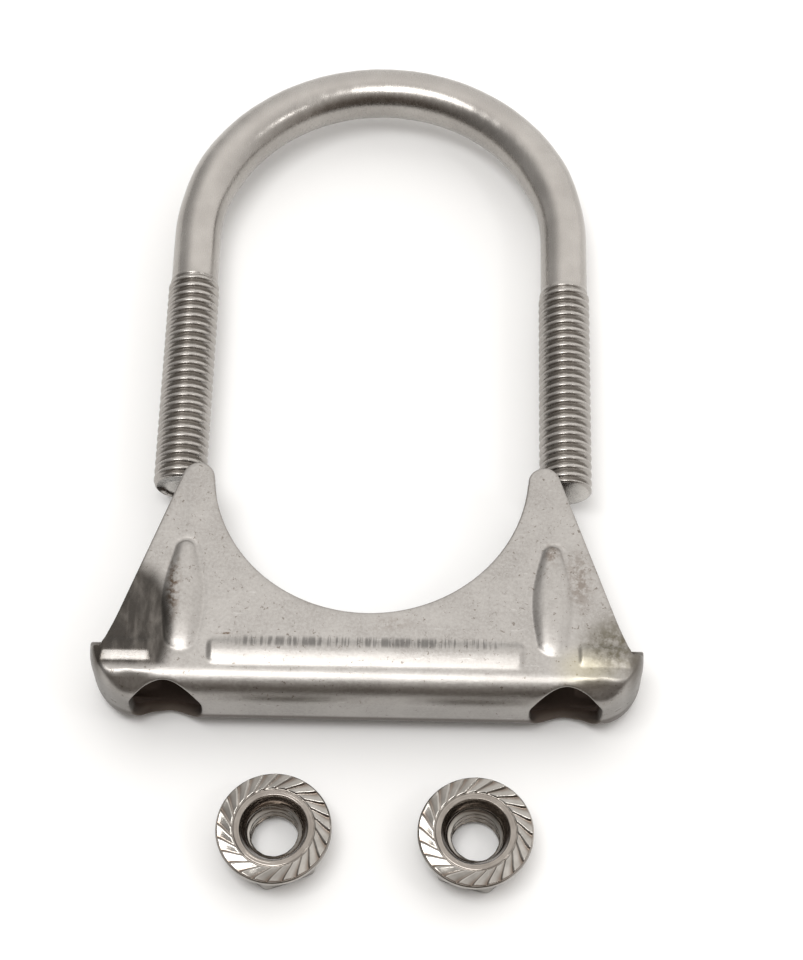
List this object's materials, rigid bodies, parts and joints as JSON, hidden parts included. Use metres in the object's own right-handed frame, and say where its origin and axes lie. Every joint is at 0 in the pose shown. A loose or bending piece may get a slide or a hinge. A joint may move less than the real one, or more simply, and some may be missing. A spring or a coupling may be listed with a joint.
{
  "type": "u-bolt",
  "caption": "Pipe clamp laid out in pieces: a threaded U-bolt, a pressed channel saddle with a half-round seat, and serrated flange nuts.",
  "frame": {"origin": "centre of the saddle's half-round pipe seat, half way between its two flanges", "axes": "+Z along the pipe, +Y from the saddle's web towards the bend of the U-bolt, +X to the right with the bend away from the viewer"},
  "size_m": [0.0796, 0.1394, 0.0142],
  "materials": {
    "bar_steel": "satin stainless bar, with a darker rolled thread",
    "sheet_steel": "tumbled stainless sheet, matt, with scratches and dark stains",
    "nut_steel": "bright stainless"
  },
  "bodies": {
    "u_bolt": {"u_bolt": "bar_steel"},
    "saddle": {"saddle": "sheet_steel"},
    "left_nut": {"left_nut": "nut_steel"},
    "right_nut": {"right_nut": "nut_steel"}
  },
  "joints": [
    {"name": "saddle_slide", "type": "slide", "parent": "u_bolt", "child": "saddle", "axis": [0, 1, 0], "range_m": [0, 0.0462]},
    {"name": "left_nut_fitting", "type": "hinge", "parent": "saddle", "child": "left_nut", "pos_m": [-0.01894, -0.04302, -0.00717], "axis": [-0.6009, -0.5652, -0.5652], "range_deg": [0, 117.99]},
    {"name": "right_nut_fitting", "type": "hinge", "parent": "saddle", "child": "right_nut", "pos_m": [0.02067, -0.04333, -0.00748], "axis": [-0.6925, 0.5101, 0.5101], "range_deg": [0, 110.59]}
  ]
}
